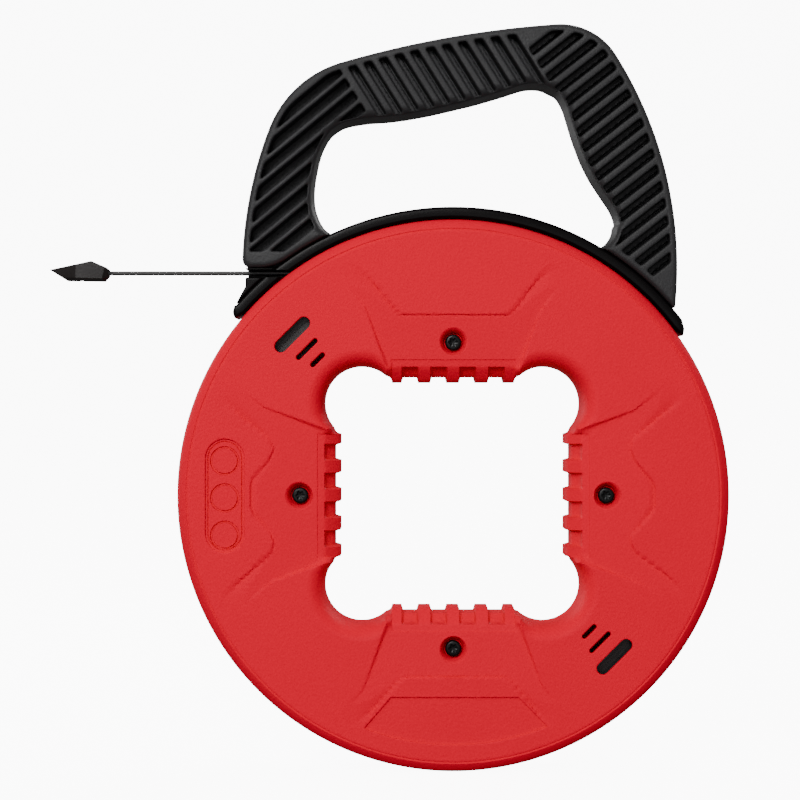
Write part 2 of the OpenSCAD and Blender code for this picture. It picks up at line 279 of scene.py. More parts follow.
# coiled tape inside the case: the same steel as the lead's tape strip, given a darker colour as painted shade for its
# place deep inside the case
COIL_PAINTED_SHADE = material("coil_strip_painted_shade", (0.022, 0.02, 0.02), 0.36, metallic=0.7, grain=1500, grain_depth=0.00001, wear=0.1, tint=0.25)
TIP = material("tip_blackened", (0.011, 0.0085, 0.008), 0.36, metallic=0.0, spec=0.16, grain=1300, grain_depth=0.00003, wear=0.12, tint=0.35)
SCREW = material("screw_black_oxide", (0.003, 0.003, 0.0032), 0.34, metallic=0.0, spec=0.14, grain=1500, grain_depth=0.00002, wear=0.1, tint=0.2)
PLAIN = material("plain_steel", (0.42, 0.42, 0.42), 0.34, metallic=0.95, grain=1500, grain_depth=0.00002, wear=0.1, tint=0.15)


# ---------------------------------------------------------------- case covers

CASE_R, HALF, WALL, CORNER, DRUM = 115.0, 19.0, 2.5, 4.0, 76.0
GAP, LIP_R = 4.0, 109.5
LOBE = np.array([38.3, 38.3])
LOBE_R = 15.5
DROP = 2.1
# depth towards the axis and height of the wall, on a finger rib and in a valley between two
RIB = [(47, 0), (47, 2), (47, 4.5), (47, 8), (47.1, 9.5), (47.6, 11), (48.6, 12.3), (49.8, 13.5), (51, 14.7),
       (52.2, 15.7), (53, 16.3), (53.6, 16.6), (54.6, 16.72), (56, 16.86), (56.35, 16.92), (56.6, 17.25), (57.5, 17.32)]
VALLEY = [(49.3, 0), (49.3, 2), (49.3, 4.5), (49.3, 8), (49.35, 8.6), (49.6, 9.2), (50.1, 9.9), (51.0, 10.9), (52.1, 12.1),
          (52.9, 13.1), (53.2, 14.4), (53.6, 16.5), (54.6, 16.72), (56, 16.86), (56.35, 16.92), (56.6, 17.25), (57.5, 17.32)]
LOBE_W = [0, 0, 0, 0, 0.012, 0.05, 0.11, 0.19, 0.28, 0.37, 0.46, 0.56, 0.66, 0.76, 0.85, 0.93, 1.0]
LOBE_H = [0, 2, 4.5, 7.5]
FILLET = [(0, 8.2), (0.1, 9.3), (0.4, 11), (1.0, 13), (1.9, 14.8), (3.1, 16.3), (4.5, 17.5), (5.8, 18.2), (7.0, 18.65),
          (8.1, 18.9), (8.9, 18.98), (9.5, 19), (60, 19)]
F_R = np.array([p[0] for p in FILLET]) * 0.72
F_H = np.array([p[1] for p in FILLET])
# raised borders at the outer end of each grip panel, (across, outwards) in that grip's own frame
BRACKETS = [
    [(-60, 118), (-34.2, 89.6), (-26.6, 80), (-22.1, 75.2), (22.6, 75.1), (25.3, 77.5), (34.1, 89), (60, 118)],
    [(-60, 118), (-37.9, 92.2), (-35, 88.7), (-23.3, 74.2), (-19.2, 73.6), (-14.2, 75.4), (-7.3, 81.8), (-4.3, 83.5),
     (5.3, 83.5), (8.1, 81.6), (17, 73.4), (19.8, 73.6), (23.4, 75.6), (33, 88.8), (60, 118)],
    [(-60, 118), (-34.6, 90.4), (-24.2, 77), (-21.4, 75.3), (18.6, 75.3), (21.5, 76.1), (33.8, 89.6), (60, 118)],
    [(-60, 118), (-35.8, 89.3), (-23.5, 75.6), (-19.3, 74.5), (-15.2, 76.2), (-8.3, 82.8), (-5, 84.2), (4.1, 84.2),
     (7.1, 83.5), (14.3, 76.9), (19.1, 74.5), (24, 76.9), (33.2, 88.6), (60, 118)],
]


def side_distance(px, pz, line):
    """Signed distance from the broken line, positive on its outer side."""
    best = np.full(px.shape, 1e9)
    sign = np.ones(px.shape)
    for (ax, az), (bx, bz) in zip(line[:-1], line[1:]):
        ex, ez = bx - ax, bz - az
        t = np.clip(((px - ax) * ex + (pz - az) * ez) / (ex * ex + ez * ez), 0, 1)
        dx, dz = px - (ax + t * ex), pz - (az + t * ez)
        d = np.hypot(dx, dz)
        cr = ex * (pz - az) - ez * (px - ax)
        near = d < best - 1e-9
        best = np.where(near, d, best)
        sign = np.where(near, np.sign(cr), sign)
    return best * sign


def panel_drop(x, z):
    """How far the face lies below its full height: the four grip panels sink towards the opening."""
    drop = np.zeros(x.shape)
    # each grip: across and outwards coordinates
    frames = [(x, z), (-z, x), (-x, -z), (z, -x)]
    for k, (s, t) in enumerate(frames):
        use = t > np.abs(s) * 0.8
        if not use.any():
            continue
        ss, tt = s[use], t[use]
        d = DROP * np.clip(1 - (tt - 50) / 37, 0, 1)
        edge = 27 + (tt - 50) * 0.351
        inside = smoothstep(0, 1, (edge - np.abs(ss)) / (0.7 * d + 0.25))
        line = side_distance(ss, tt, BRACKETS[k])
        step = 1 - smoothstep(-0.26, 0.26, line)
        # a low ledge keeps the border's edge readable out to its corners
        reach = smoothstep(97, 88, tt)
        ledge = 1.0 * np.exp(-np.abs(line) / 2.2) * reach
        inside = np.maximum(inside, (np.abs(line) < 9) * (tt > 73) * 1.0)
        d = np.where(tt > 73, np.maximum(d, ledge), d)
        drop[use] = np.maximum(drop[use], d * inside * step)
    return drop


def fillet_height(x, z):
    """Height of the rounded edge round the four corner lobes."""
    h = np.full(x.shape, HALF)
    ax, az = np.abs(x), np.abs(z)
    dx, dz = ax - LOBE[0], az - LOBE[1]
    r = np.hypot(dx, dz) - LOBE_R
    ang = np.degrees(np.abs((np.arctan2(dz, dx) - np.pi / 4 + np.pi) % (2 * np.pi) - np.pi))
    k = 1 - 0.72 * smoothstep(58, 92, ang)
    near = r < 12
    h[near] = np.interp(np.maximum(r[near], 0) / k[near], F_R, F_H)
    return h


def face_height(x, z, rear):
    h = np.minimum(fillet_height(x, z), HALF - panel_drop(x, z))
    return h


def rib_share(s):
    """1 on a finger rib, 0 in a valley."""
    a = np.abs(s)
    d = np.abs((a + 6) % 12 - 6)
    w = 1 - np.clip((d - 2.45) / 0.7, 0, 1)
    return np.where(a > 21.5, 1.0, w)


def quarter_lines(dense):
    """The lines of the mesh across one quarter, as seen with that quarter's grip on top: each holds its points on the
    opening's wall, from the seam up to the start of the face."""
    rib = np.array(RIB)
    val = np.array(VALLEY)
    n = len(rib)
    # across the grip, with lines on every edge of a rib
    s_list = [-25.5]
    for c in (-24, -12, 0, 12, 24):
        lo, hi = c - 2.45, c + 2.45
        if c == -24:
            lo = -25.5
        if c == 24:
            hi = 25.5
        s_list += list(np.linspace(lo, hi, int(7 * dense)))
        if c < 24:
            s_list += [c + 2.8] + list(np.linspace(c + 3.15, c + 8.85, int(8 * dense))) + [c + 9.2]
    s_arr = np.unique(np.round(s_list, 4))
    lines = []
    for s in s_arr:
        w = float(rib_share(np.array(s)))
        st = rib * w + val * (1 - w)
        lines.append(np.column_stack([np.full(n, s), st[:, 0], st[:, 1]]))
    # round end of the last rib, then the lobe
    e0 = np.array([25.5, 57.5])
    corner = [(25.6, 47.6), (25.85, 48.5), (26.35, 49.2), (27.1, 49.65)]
    phi0 = math.atan2(50.1 - 38.3, 28.2 - 38.3)
    phis = np.linspace(phi0, math.pi / 2 - phi0, int(96 * dense))
    count = len(corner)

    def lobe_line(phi, lam):
        base = LOBE + LOBE_R * np.array([math.cos(phi), math.sin(phi)])
        pe = math.pi / 4 + math.radians(77) * lam
        re = 22.4 + 0.24 * abs(lam) ** 3
        end = LOBE + re * np.array([math.cos(pe), math.sin(pe)])
        w = np.array(LOBE_W)[:, None]
        p = base + (end - base) * w
        h = face_height(p[:, 0], p[:, 1], False)
        h[:4] = LOBE_H
        return np.column_stack([p, h])

    first = lobe_line(phis[0], 1.0)
    last = lines[-1]
    for i, b in enumerate(corner):
        v = (i + 1) / (count + 1)
        off_g = last - last[0]
        off_l = first - first[0]
        p = (1 - v) * off_g + v * off_l
        p[:, 0] += b[0]
        p[:, 1] += b[1]
        # meet the face along the straight run between the two
        tgt = last[-1] * (1 - v) + first[-1] * v
        ww = np.linspace(0, 1, n)[:, None] ** 2
        p[:, :2] += (tgt[:2] - p[-1, :2]) * ww
        lines.append(p)
    half = []
    for phi in phis:
        lam = (phi - math.pi / 4) / (phi0 - math.pi / 4)
        half.append(lobe_line(phi, lam))
    lines += half
    # mirror the rounded end on to the next grip: drop it here and let the next quarter's copy start at its own rib
    tail = []
    for p in lines[len(s_arr): len(s_arr) + count][::-1]:
        tail.append(p[:, [1, 0, 2]])
    lines += tail
    return np.array(lines)


def cover_mesh(sign, dense, ring_step, split):
    """Closed meshes of one cover: sign -1 for the front (towards -y), +1 for the rear."""
    q = quarter_lines(dense)
    # q runs clockwise from the top grip's left end to the lobe at the upper right
    parts = []
    for k in range(4):
        a = -k * math.pi / 2
        c, s = math.cos(a), math.sin(a)
        p = q.copy()
        p[..., 0], p[..., 1] = q[..., 0] * c - q[..., 1] * s, q[..., 0] * s + q[..., 1] * c
        parts.append(p)
    wall = np.concatenate(parts)
    m = len(wall)
    start = wall[:, -1]
    ang = np.unwrap(np.arctan2(start[:, 1], start[:, 0]))
    # even the angles out, so that no two lines cross
    ang = np.minimum.accumulate(ang)
    step = np.diff(np.concatenate([ang, [ang[0] - 2 * np.pi]]))
    step = np.minimum(step, -2e-4)
    step *= 2 * np.pi / -step.sum()
    ang = ang[0] + np.concatenate([[0], np.cumsum(step[:-1])])
    dirs = np.column_stack([np.cos(ang), np.sin(ang)])

    def face_rings(from_xy, to_xy, count, skip_first):
        out = []
        for i in range(1 if skip_first else 0, count + 1):
            w = i / count
            p = from_xy * (1 - w) + to_xy * w
            out.append(p)
        return out

    def ring3(p, h):
        h = np.broadcast_to(h, (len(p),))
        return np.column_stack([p[:, 0], sign * h, p[:, 1]])

    mid = 77.6
    base_h = start[:, 2]
    inner_count = max(4, int(round((mid - 61) / ring_step)))
    outer_count = max(6, int(round((109.4 - mid) / ring_step)))
    rings = [np.column_stack([wall[:, j, 0], sign * wall[:, j, 1 + 1], wall[:, j, 1]]) for j in range(wall.shape[1])]
    inner = list(rings)
    for p in face_rings(start[:, :2], dirs * mid, inner_count, True):
        h = face_height(p[:, 0], p[:, 1], sign > 0)
        # run smoothly out of the grip's bevel
        inner.append(ring3(p, h))
    outer = []
    for p in face_rings(dirs * mid, dirs * 109.4, outer_count, True):
        outer.append(ring3(p, face_height(p[:, 0], p[:, 1], sign > 0)))
    rim = []
    for r, h in [(110.1, 19.0), (110.3, 18.9), (110.5, 18.7), (110.75, 18.7), (110.95, 18.88), (111.15, 18.93), (111.4, 18.78),
                 (112.0, 18.32), (112.7, 17.7), (113.4, 17.0), (114.0, 16.25), (114.45, 15.5), (114.75, 14.7), (114.93, 13.9),
                 (115, 13.0)]:
        rim.append(ring3(dirs * r, h))
    for r, h in [(115, 12), (115, 8), (115, 4.35), (114.9, 4.1), (114.65, 4.0), (112, 4.0), (109.85, 4.0), (109.6, 4.1),
                 (109.5, 4.35), (109.5, 6.2), (109.6, 6.42), (109.85, 6.5), (112.2, 6.5), (112.5, 6.8), (112.5, 14.5),
                 (111.5, 16.1), (110, 16.5), (94, 16.5)]:
        rim.append(ring3(dirs * r, h))
    drum = [ring3(dirs * r, h) for r, h in ((mid, 16.5), (76.8, 16.4), (76.1, 15.6), (76, 8), (76, 0.0))]
    if not split:
        return [rings_mesh(inner + outer + rim + drum, closed_loop=True)]
    # the inner piece ends in a wall at mid, and the outer one starts there
    a_rings = inner + drum
    b_rings = [drum[0], inner[-1]] + outer + rim
    return [rings_mesh(a_rings, closed_loop=True), rings_mesh(b_rings, closed_loop=True)]


def ring_outline(poly, w, h0, h1):
    """A closed strip of width w along the outline poly, wider at its top h1 than at its foot h0."""
    d = outward(poly)
    n = len(poly)
    rings = [np.column_stack([poly[:, 0] + d[:, 0] * q, np.full(n, -h), poly[:, 1] + d[:, 1] * q])
             for q, h in ((-w / 2 + 0.12, h0), (-w / 2 - 0.25, h1), (w / 2 + 0.25, h1), (w / 2 - 0.12, h0))]
    return rings_mesh(rings, closed_loop=True)


dense = 1.0
step = 0.42
front_in, front_out = cover_mesh(-1, dense, step, True)
(rear_all,) = cover_mesh(1, dense * 0.6, step * 2.2, False)

cover_inner = to_object("front_cover_hub", *front_in, RED, "case", "case_red", angle=40)
cover_outer = to_object("front_cover_rim", *front_out, RED, "case", "case_red", angle=40)
cover_rear = to_object("rear_cover_shell", *rear_all, RED_REAR, "case", "case_red", angle=40)
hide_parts("front_cover")
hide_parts("front_cover")
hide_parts("rear_cover")

# counterbores of the four case screws
spots = [(0, 63.7), (63.7, 0), (0, -63.7), (-63.7, 0)]
parts = []
for x, z in spots:
    top = HALF - float(panel_drop(np.array([x * 1.0]), np.array([z * 1.0]))[0])
    unit = circle(0, 0, 1.0, 72)
    parts.append(rings_mesh([np.column_stack([x + unit[:, 0] * r, np.full(72, -h), z + unit[:, 1] * r]) for r, h in (
        (3.75, 12.5), (3.85, 13.4), (4.7, top - 2.0), (5.15, top - 0.85), (5.45, top - 0.25), (5.85, top + 0.02), (7.0, top + 1.2))]))
cut(cover_inner, plain_object("bores", *join_parts(parts)))
shade(cover_inner, 40)

# windows on to the tape, the blank pill and the blank panel
parts = []
for a in (135, 315):
    t = math.radians(a)
    for r, length, width in ((94.5, 19.5, 6.0), (86.0, 12.5, 2.8), (79.7, 8.4, 2.8)):
        parts.append(prism(obround(r * math.cos(t), r * math.sin(t), length - 0.8, width - 0.8, a + 90), 12.0, 20.4, 0.4, 19.02))
cut(cover_outer, plain_object("windows", *join_parts(parts)))
pill = obround(-94.8, 0, 47.0, 16.0, 90, 40)
cut(cover_outer, plain_object("pill", *prism(pill, HALF - 0.9, HALF + 1.2, 0.45, HALF + 0.01)))
# blank outlines sunk into the pill's floor
grooves = [ring_outline(circle(-94.9, z, 5.6, 72), 0.75, 17.2, 18.6) for z in (14.5, -0.9, -16.4)]
cut(cover_outer, plain_object("grooves", *join_parts(grooves)))
cut(cover_outer, plain_object("groove_round", *ring_outline(obround(-94.8, 0, 45.0, 14.0, 90, 41), 0.3, 17.6, 18.43)))


def panel_outline():
    a0 = [(-26, -83.6), (27, -83.6)]
    right = math.atan2(-math.sqrt(103.3 ** 2 - 39 ** 2), 39)
    left = math.atan2(-math.sqrt(103.3 ** 2 - 37 ** 2), -37)
    arc = [(103.3 * math.cos(t), 103.3 * math.sin(t)) for t in np.linspace(right, left, 60)]
    return np.array(a0 + arc)


cut(cover_outer, plain_object("panel", *prism(panel_outline(), HALF - 0.9, HALF + 1.2, 0.3, HALF + 0.01)))
shade(cover_outer, 40)

# ---------------------------------------------------------------- case screws


def torx_head(cx, cz, r, seat, top, recess, depth, sign=-1, n=72):
    """A round screw head with a six-lobed recess, its axis along y."""
    a = np.linspace(0, 2 * np.pi, n, endpoint=False)
    star = recess * (1 + 0.16 * np.cos(6 * a))
    sec = [(np.full(n, r * 0.5), seat), (np.full(n, r), seat), (np.full(n, r), top - 0.75), (np.full(n, r * 0.975), top - 0.42),
           (np.full(n, r * 0.92), top - 0.2), (np.full(n, r * 0.82), top - 0.06), (np.full(n, r * 0.7), top),
           (star + 0.14, np.full(n, top)), (star, top - 0.16), (star * 0.985, top - depth), (star * 0.3, top - depth - 0.25)]
    rings = []
    for q, h in sec:
        rings.append(np.column_stack([cx + q * np.cos(a), sign * np.broadcast_to(h, (n,)), cz + q * np.sin(a)]))
    return rings_mesh(rings)


heads = to_object("case_screw_heads", *join_parts([torx_head(x, z, 3.4, 12.5, 15.05, 1.75, 1.3) for x, z in spots]),
                  SCREW, "case", "black_steel", angle=35)
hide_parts("case_screws")

# ---------------------------------------------------------------- tape


def rounded_rect(w, h, r, n=5):
    """Outline of a w by h rectangle with rounded corners, centred."""
    pts = []
    for cx, cz, a0 in ((w / 2 - r, h / 2 - r, 0), (-w / 2 + r, h / 2 - r, 90), (-w / 2 + r, -h / 2 + r, 180), (w / 2 - r, -h / 2 + r, 270)):
        for a in np.linspace(a0, a0 + 90, n):
            t = math.radians(a)
            pts.append((cx + r * math.cos(t), cz + r * math.sin(t)))
    return np.array(pts)


sec = rounded_rect(6.34, 1.51, 0.45, 6)
xs = np.concatenate([[-151.9], np.linspace(-151.6, -142.0, 24), np.linspace(-139.6, -0.1, 56)])
rings = []
for i, x in enumerate(xs):
    k = 0.9 if i == 0 else 1.0
    w = float(np.interp(x, [-148.0, -145.6, -144.2, -143.0], [0.4, 0.45, 0.85, 1.0]))
    rings.append(np.column_stack([np.full(len(sec), x), sec[:, 0] * k * w, 93.2 + sec[:, 1] * k]))
lead = to_object("tape_lead_strip", *rings_mesh(rings), TAPE, "tape", "tape_steel", angle=50)
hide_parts("tape_lead")


def hull_object(name, pts, mat, body, bevel):
    bm = bmesh.new()
    for p in pts:
        bm.verts.new(Vector(p) * 0.001)
    bmesh.ops.convex_hull(bm, input=bm.verts)
    loose = [v for v in bm.verts if not v.link_faces]
    bmesh.ops.delete(bm, geom=loose, context="VERTS")
    bmesh.ops.dissolve_limit(bm, angle_limit=math.radians(3), verts=bm.verts, edges=bm.edges)
    bmesh.ops.bevel(bm, geom=list(bm.edges), offset=bevel * 0.001, segments=2, profile=0.6, affect="EDGES")
    bmesh.ops.recalc_face_normals(bm, faces=bm.faces)
    me = bpy.data.meshes.new(name)
    bm.to_mesh(me)
    bm.free()
    ob = bpy.data.objects.new(name, me)
    bpy.context.scene.collection.objects.link(ob)
    me.materials.append(mat)
    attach(ob, body)
    return ob


Z0 = 93.2
outline = [(-170.2, 1.55), (-152.3, 5.2), (-146.4, 2.65), (-144.7, 1.35), (-144.7, -1.35), (-146.6, -3.5), (-162.3, -3.3)]
inset = [(-158.8, 3.45), (-152.4, 4.85), (-146.7, 2.3), (-147.7, -2.3), (-158.8, -2.05), (-163.4, -1.9)]
pts = []
for x, z in outline:
    y = np.interp(x, [-171, -158, -150, -146, -144], [0.3, 1.3, 1.6, 1.5, 1.35])
    if z > 2:
        y = 2.7
    pts += [(x, -y, Z0 + z), (x, y, Z0 + z)]
for x, z in inset:
    y = np.interp(x, [-171, -158.8], [0.5, 3.38])
    pts += [(x, -y, Z0 + z), (x, y, Z0 + z)]
tip = hull_object("tape_tip_head", pts, TIP, "tape", 0.12)
cut(tip, plain_object("eye", *join_parts([
    rings_mesh([np.column_stack([-156.5 + q * np.cos(np.linspace(0, 2 * np.pi, 40, endpoint=False)),
                                 q * np.sin(np.linspace(0, 2 * np.pi, 40, endpoint=False)), np.full(40, z)])
                for q, z in ((2.6, 86), (1.6, 89.9), (1.6, 96.3), (2.9, 99.6))])])))
shade(tip, 9)
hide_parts("tape_tip")

a = np.linspace(0, 2 * np.pi, 32, endpoint=False)
prof = [(0.5, 90.85), (0.85, 90.9), (0.98, 91.1), (0.98, 95.6), (0.85, 95.95), (0.5, 96.1)]
rivet = to_object("tip_rivet_pin", *rings_mesh([np.column_stack([-148.5 + q * np.cos(a), q * np.sin(a), np.full(32, z)]) for q, z in prof]),
                  PLAIN, "tape", "plain_steel", angle=50)
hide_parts("tip_rivet")

# ---------------------------------------------------------------- handle


def grid_contour(f, lo, hstep):
    """Closed surface of the zero level of f on a regular grid (surface nets): vertices in mm and quads."""
    inside = f < 0
    nx, ny, nz = f.shape
    c = np.stack([inside[dx:nx - 1 + dx, dy:ny - 1 + dy, dz:nz - 1 + dz] for dx in (0, 1) for dy in (0, 1) for dz in (0, 1)])
    s = c.sum(0)
    active = (s > 0) & (s < 8)
    idx = -np.ones(active.shape, np.int64)
    ii = np.argwhere(active)
    idx[active] = np.arange(len(ii))
    acc = np.zeros((len(ii), 3))
    cnt = np.zeros(len(ii))
    X, Y, Zi = ii.T
    corners = [(dx, dy, dz) for dx in (0, 1) for dy in (0, 1) for dz in (0, 1)]
    for a0 in corners:
        for ax in range(3):
            if a0[ax]:
                continue
            b0 = list(a0)
            b0[ax] = 1
            fa = f[X + a0[0], Y + a0[1], Zi + a0[2]]
            fb = f[X + b0[0], Y + b0[1], Zi + b0[2]]
            cross = (fa < 0) != (fb < 0)
            t = np.where(cross, fa / np.where(cross, fa - fb, 1), 0)
            p = np.array(a0, float)[None, :].repeat(len(ii), 0)
            p[:, ax] += t
            acc[cross] += p[cross]
            cnt[cross] += 1
    v = ii + acc / cnt[:, None]
    quads = []
    for ax in range(3):
        o = [k for k in range(3) if k != ax]
        sl0 = [slice(None)] * 3
        sl1 = [slice(None)] * 3
        sl0[ax] = slice(0, f.shape[ax] - 1)
        sl1[ax] = slice(1, f.shape[ax])
        a1, b1 = inside[tuple(sl0)], inside[tuple(sl1)]
        ch = np.argwhere(a1 != b1)
        ok = (ch[:, o[0]] > 0) & (ch[:, o[1]] > 0) & (ch[:, o[0]] < f.shape[o[0]] - 1) & (ch[:, o[1]] < f.shape[o[1]] - 1)
        ch = ch[ok]
        e = []
        for du, dv in ((-1, -1), (0, -1), (0, 0), (-1, 0)):
            q = ch.copy()
            q[:, o[0]] += du
            q[:, o[1]] += dv
            e.append(idx[q[:, 0], q[:, 1], q[:, 2]])
        qd = np.stack(e, 1)
        flip = a1[ch[:, 0], ch[:, 1], ch[:, 2]]
        if ax == 1:
            flip = ~flip
        qd = np.where(flip[:, None], qd, qd[:, ::-1])
        quads.append(qd)
    quads = np.concatenate(quads)
    return np.asarray(lo) + v * hstep, quads


def arc_points(c, r, a0, a1, n):
    t = np.linspace(math.radians(a0), math.radians(a1), n)
    return [(c[0] + r * math.cos(q), c[1] + r * math.sin(q)) for q in t]


def polygon_distance(px, pz, poly, chunk=20000):
    """Signed distance to a closed polygon, negative inside."""
    p = np.asarray(poly, float)
    a = p
    b = np.roll(p, -1, 0)
    e = b - a
    ee = (e ** 2).sum(1) + 1e-12
    out = np.empty(px.shape)
    for i in range(0, len(px), chunk):
        x = px[i:i + chunk, None]
        z = pz[i:i + chunk, None]
        wx, wz = x - a[:, 0], z - a[:, 1]
        t = np.clip((wx * e[:, 0] + wz * e[:, 1]) / ee, 0, 1)
        d = np.sqrt(((wx - t * e[:, 0]) ** 2 + (wz - t * e[:, 1]) ** 2).min(1))
        c1 = (a[:, 1] <= z) & (b[:, 1] > z)
        c2 = (a[:, 1] > z) & (b[:, 1] <= z)
        cr = e[:, 0] * wz - e[:, 1] * wx
        wn = (c1 & (cr > 0)).sum(1) - (c2 & (cr < 0)).sum(1)
        out[i:i + chunk] = np.where(wn != 0, -d, d)
    return out


def smooth_curve(pts, per=8):
    """A closed curve through the points."""
    p = np.asarray(pts, float)
    n = len(p)
    out = []
    for i in range(n):
        p0, p1, p2, p3 = p[(i - 1) % n], p[i], p[(i + 1) % n], p[(i + 2) % n]
        for t in np.linspace(0, 1, per, endpoint=False):
            out.append(0.5 * ((2 * p1) + (-p0 + p2) * t + (2 * p0 - 5 * p1 + 4 * p2 - p3) * t ** 2 + (-p0 + 3 * p1 - 3 * p2 + p3) * t ** 3))
    return np.array(out)


def meet(a, b):
    """Upper meeting point of two circles (x, z, r)."""
    ax, az, ar = a
    bx, bz, br = b
    d = math.hypot(bx - ax, bz - az)
    ux, uz = (bx - ax) / d, (bz - az) / d
    t = (ar * ar - br * br + d * d) / (2 * d)
    h = math.sqrt(ar * ar - t * t)
    p = (ax + ux * t - uz * h, az + uz * t + ux * h)
    q = (ax + ux * t + uz * h, az + uz * t - ux * h)
    return p if p[1] > q[1] else q


def smax(a, b, k):
    """Larger of two fields with a rounded meeting of size k."""
    h = np.maximum(k - np.abs(a - b), 0) / k
    return np.maximum(a, b) + h * h * k * 0.25


LEFT, RIGHT, TOP = (78.0, 93.0, 166.0), (-71.5, 95.5, 165.0), (72.0, -227.0, 424.5)
FOOT = 120.6
GAP_PTS = [(-53.7, 144), (-55.2, 139.9), (-56.2, 135.7), (-57, 131.5), (-57.5, 127.3), (-57.6, 123.2), (-57.1, 119), (-55.7, 114.8),
           (-54, 112), (-50, 109.2), (-44, 107.5), (-20, 104), (0, 103), (20, 103), (45, 104), (58, 103.2), (62.5, 104.2), (65.4, 106.8),
           (67, 110.6), (66.6, 114.8), (64.8, 119), (62, 123.2), (59.3, 127.3), (56.6, 131.5), (54.4, 135.7), (52.4, 139.9), (49.3, 148.2),
           (46.7, 156.6), (45.2, 161.3), (42.8, 165.6), (40.0, 167.4), (36.9, 168.8), (33.8, 169.3), (30.6, 169.1), (27.5, 168.4),
           (21.7, 166.5), (15.4, 164.6), (9.1, 162.8), (2.9, 161.3), (-3.4, 159.8), (-9.6, 158.4), (-15.9, 157.2), (-22.1, 156.2),
           (-28.4, 155.5), (-34.7, 155.1), (-40.9, 154.2), (-44.6, 153.3), (-47.6, 151.8), (-50.8, 149)]


def handle_plan(px, pz):
    """Signed distance to the handle's outline in the plane, without the pockets."""
    def disc(c, d=0.0):
        return np.hypot(px - c[0], pz - c[1]) - (c[2] - d)

    ltr, rtr = 46.0, 27.4
    tl = meet((LEFT[0], LEFT[1], LEFT[2] - ltr), (TOP[0], TOP[1], TOP[2] - ltr))
    tr = meet((RIGHT[0], RIGHT[1], RIGHT[2] - rtr), (TOP[0], TOP[1], TOP[2] - rtr))
    body = np.maximum(np.maximum(disc(LEFT), disc(RIGHT)), disc(TOP))

    def corner(c, r, a1, a2):
        # inside the wedge between the two normals the rounding counts
        d = np.hypot(px - c[0], pz - c[1]) - r
        n1 = np.array([c[0] - a1[0], c[1] - a1[1]])
        n2 = np.array([c[0] - a2[0], c[1] - a2[1]])
        w1 = n1[0] * (pz - c[1]) - n1[1] * (px - c[0])
        w2 = n2[0] * (pz - c[1]) - n2[1] * (px - c[0])
        return d, w1, w2

    d, w1, w2 = corner(tl, ltr, LEFT, TOP)
    wedge = (w1 < 0) & (w2 > 0)
    body = np.where(wedge, d, body)
    d, w1, w2 = corner(tr, rtr, TOP, RIGHT)
    wedge = (w1 < 0) & (w2 > 0)
    body = np.where(wedge, d, body)
    foot = FOOT - np.hypot(px, pz)
    side = body
    body = smax(body, foot, 1.2)
    body = np.where(px < -58, smax(body, 95.0 - pz, 4.0), body)
    line = smooth_curve(GAP_PTS, 6)
    front = polygon_distance(px.ravel(), pz.ravel(), line).reshape(px.shape)
    # the gap is widest halfway through the handle and closes a little towards both faces
    eye = np.array([-22.16, 39.74])
    wide = np.where(line[:, 1:2] > 112, eye + (line - eye) * 1.0122, line)
    middle = polygon_distance(px.ravel(), pz.ravel(), wide).reshape(px.shape)
    return side, body, front, middle


def strip(px, pz, ang, off, w):
    t = math.radians(ang)
    return np.abs(-math.sin(t) * px + math.cos(t) * pz - off) - w / 2


def pocket_plan(px, pz, side, body, gap):
    """Signed distances to the pockets: all of them, and the parts that go deeper."""
    n58 = px * 0.848 + pz * 0.53
    inside = np.maximum(np.maximum(side + 2.1, body + 3.0), 3.3 - gap)
    out = np.full(px.shape, 1e3)
    deep = np.full(px.shape, 1e3)
    left_cap = np.maximum(np.maximum(n58 - 54, inside), 101.7 - pz)
    for k in range(8):
        s = strip(px, pz, 39.5, 124.9 + 5.96 * k, 4.1)
        out = np.minimum(out, smax(s, left_cap, 0.9))
        deep = np.minimum(deep, smax(s, left_cap, 0.9))
    for k in range(11):
        c = 59.0 + 6.31 * k
        s = strip(px, pz, -58, c, 3.4)
        cap = np.maximum(152 - pz, inside)
        out = np.minimum(out, smax(s, cap, 0.9))
        d = strip(px, pz, -58, c + 0.95, 1.1)
        deep = np.minimum(deep, np.maximum(d, cap))
    for k in range(17):
        c = 22.5 + 6.44 * k
        s = strip(px, pz, 38, c, 3.6)
        region = np.minimum(125.5 - n58, np.maximum(40 - px, pz - 158))
        cap = np.maximum(region, inside)
        out = np.minimum(out, smax(s, cap, 0.9))
        d = strip(px, pz, 38, c - 1.0, 1.2)
        deep = np.minimum(deep, np.maximum(d, cap))
    return out, deep


SPOTS = [(-76, 104), (-63, 152), (-8, 171.5), (56, 174), (71, 132), (83, 92)]
VOX = 0.56
gx = np.arange(-95, 101, VOX)
gz = np.arange(70, 200, VOX)
PX, PZ = np.meshgrid(gx, gz, indexing="ij")
SIDE, BODY, GAP_FRONT, GAP_MIDDLE = handle_plan(PX, PZ)
POCK, DEEP = pocket_plan(PX, PZ, SIDE, BODY, GAP_FRONT)


